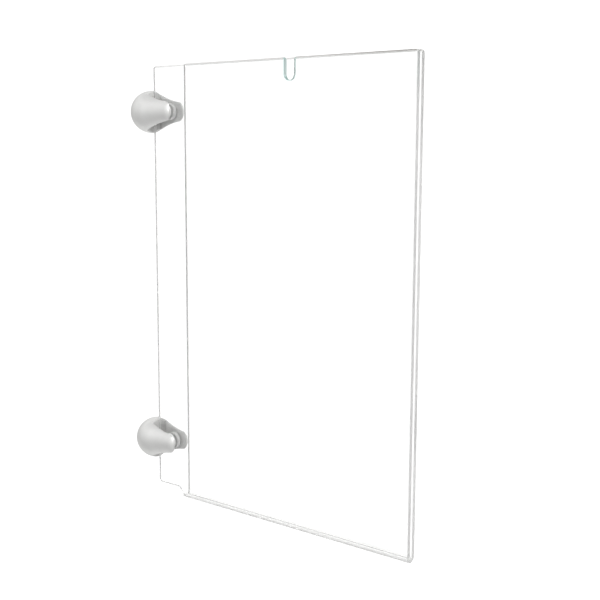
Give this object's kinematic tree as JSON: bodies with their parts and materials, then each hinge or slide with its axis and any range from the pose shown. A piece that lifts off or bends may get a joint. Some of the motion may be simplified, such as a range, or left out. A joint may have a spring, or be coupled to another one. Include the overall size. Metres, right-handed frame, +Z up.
{
  "type": "acrylic sign pocket",
  "caption": "Clear acrylic pocket bent from one sheet, held edge-on to a wall by two slotted ball-shaped metal clamps with screw pads.",
  "frame": {"origin": "on the wall, midway between the two clamps' tapped holes", "axes": "+X out of the wall along the clamps, +Y to the back of the pocket, +Z up"},
  "size_m": [0.2251, 0.028, 0.292],
  "materials": {
    "acrylic": "clear, polished edges",
    "clamp": "satin",
    "pad": "smooth nylon",
    "screw": "plain steel"
  },
  "bodies": {
    "pocket_and_clamps": {"pocket": "acrylic", "upper_clamp_body": "clamp", "upper_front_pad": "pad", "lower_clamp_body": "clamp", "lower_front_pad": "pad"},
    "upper_pad": {"upper_swivel_pad": "pad"},
    "upper_screw": {"upper_clamp_screw": "screw"},
    "lower_pad": {"lower_swivel_pad": "pad"},
    "lower_screw": {"lower_clamp_screw": "screw"}
  },
  "joints": [
    {"name": "upper_pad_slide", "type": "slide", "parent": "pocket_and_clamps", "child": "upper_pad", "axis": [0, 1, 0], "range_m": [0, 0.00165]},
    {"name": "upper_screw_turn", "type": "hinge", "parent": "upper_pad", "child": "upper_screw", "pos_m": [0.0257, 0, 0.11275], "axis": [0, 1, 0], "range_deg": [0, 594]},
    {"name": "lower_pad_slide", "type": "slide", "parent": "pocket_and_clamps", "child": "lower_pad", "axis": [0, 1, 0], "range_m": [0, 0.00165]},
    {"name": "lower_screw_turn", "type": "hinge", "parent": "lower_pad", "child": "lower_screw", "pos_m": [0.0257, 0, -0.11275], "axis": [0, 1, 0], "range_deg": [0, 594]}
  ],
  "couplings": [
    {"joint": "upper_screw_turn", "follows": "upper_pad_slide", "rad_per_m": 6283.2},
    {"joint": "lower_screw_turn", "follows": "lower_pad_slide", "rad_per_m": 6283.2}
  ]
}
